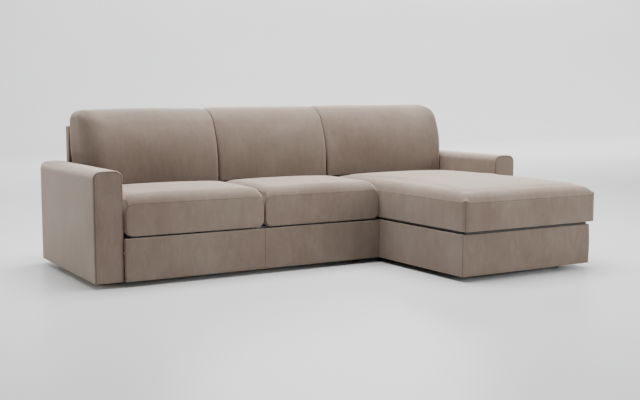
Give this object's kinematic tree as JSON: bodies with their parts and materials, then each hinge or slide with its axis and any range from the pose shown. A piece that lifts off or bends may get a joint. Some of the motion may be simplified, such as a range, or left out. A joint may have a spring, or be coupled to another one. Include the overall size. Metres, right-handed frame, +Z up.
{
  "type": "chaise sofa bed",
  "caption": "Low upholstered sofa with a storage chaise on the right; its seats and backs roll forward together and unfold into a double bed.",
  "frame": {"origin": "middle of the bounding box on the floor", "axes": "+X to the right as seen by someone who faces the sofa, along its width; +Y towards the back; +Z up"},
  "size_m": [2.955, 1.8995, 0.978],
  "materials": {
    "upholstery": "soft brushed microfibre, matt, with a short nap",
    "timber": "sanded, unlacquered",
    "steel": "satin powder coat",
    "ticking": "plain quilted ticking",
    "plastic": "matt black"
  },
  "bodies": {
    "base": {"feet": "plastic", "arm_left_frame": "timber", "arm_left_cover": "upholstery", "arm_right_frame": "timber", "arm_right_cover": "upholstery", "rear_panel_frame": "timber", "rear_panel_cover": "upholstery", "base_front_rail": "timber", "base_front_cover": "upholstery", "base_rear_rail": "timber", "side_plate_left": "steel", "side_plate_right": "steel", "lift_pins": "steel", "chaise_box": "timber", "chaise_floor": "timber", "chaise_cover": "upholstery", "chaise_back_platform": "timber", "back_cushion_chaise": "upholstery", "lid_hinge_brackets": "steel"},
    "lid": {"lid_board": "timber", "lid_cushion": "upholstery", "lid_hinge_arms": "steel"},
    "rear_lift": {"lift_arm_rear": "steel"},
    "front_lift": {"lift_arm_front": "steel"},
    "head_section": {"head_frame": "steel", "head_slats": "timber", "mattress_head": "ticking"},
    "middle_section": {"middle_frame": "steel", "middle_slats": "timber", "seat_deck": "timber", "mattress_middle": "ticking", "seat_cushion_left": "upholstery", "seat_cushion_right": "upholstery", "middle_legs": "steel"},
    "foot_section": {"foot_frame": "steel", "foot_slats": "timber", "back_board": "timber", "mattress_foot": "ticking", "back_cushion_left": "upholstery", "back_cushion_middle": "upholstery"},
    "foot_leg_pair": {"foot_legs": "steel"}
  },
  "joints": [
    {"name": "lid_hinge", "type": "hinge", "parent": "base", "child": "lid", "pos_m": [0, 0.502, 0.47], "axis": [-1, 0, 0], "range_deg": [0, 50]},
    {"name": "bed_lift", "type": "hinge", "parent": "base", "child": "rear_lift", "pos_m": [0, 0.243, 0.134], "axis": [1, 0, 0], "range_deg": [0, 90]},
    {"name": "front_lift_swing", "type": "hinge", "parent": "base", "child": "front_lift", "pos_m": [0, -0.037, 0.134], "axis": [1, 0, 0], "range_deg": [0, 90]},
    {"name": "head_level", "type": "hinge", "parent": "rear_lift", "child": "head_section", "pos_m": [0, 0.44973, 0.05876], "axis": [1, 0, 0], "range_deg": [-90, 0]},
    {"name": "middle_flip", "type": "hinge", "parent": "head_section", "child": "middle_section", "pos_m": [0, -0.06, 0.17206], "axis": [1, 0, 0], "range_deg": [0, 180]},
    {"name": "foot_fold", "type": "hinge", "parent": "middle_section", "child": "foot_section", "pos_m": [0, 0.71, 0.28506], "axis": [1, 0, 0], "range_deg": [-90, 0]},
    {"name": "foot_leg_swing", "type": "hinge", "parent": "foot_section", "child": "foot_leg_pair", "pos_m": [0, 0.71, 0.62006], "axis": [1, 0, 0], "range_deg": [-90, 0]}
  ],
  "couplings": [
    {"joint": "front_lift_swing", "follows": "bed_lift", "ratio": 1},
    {"joint": "head_level", "follows": "bed_lift", "ratio": -1},
    {"joint": "middle_flip", "follows": "bed_lift", "ratio": 2},
    {"joint": "foot_fold", "follows": "bed_lift", "ratio": -1},
    {"joint": "foot_leg_swing", "follows": "bed_lift", "ratio": -1}
  ]
}
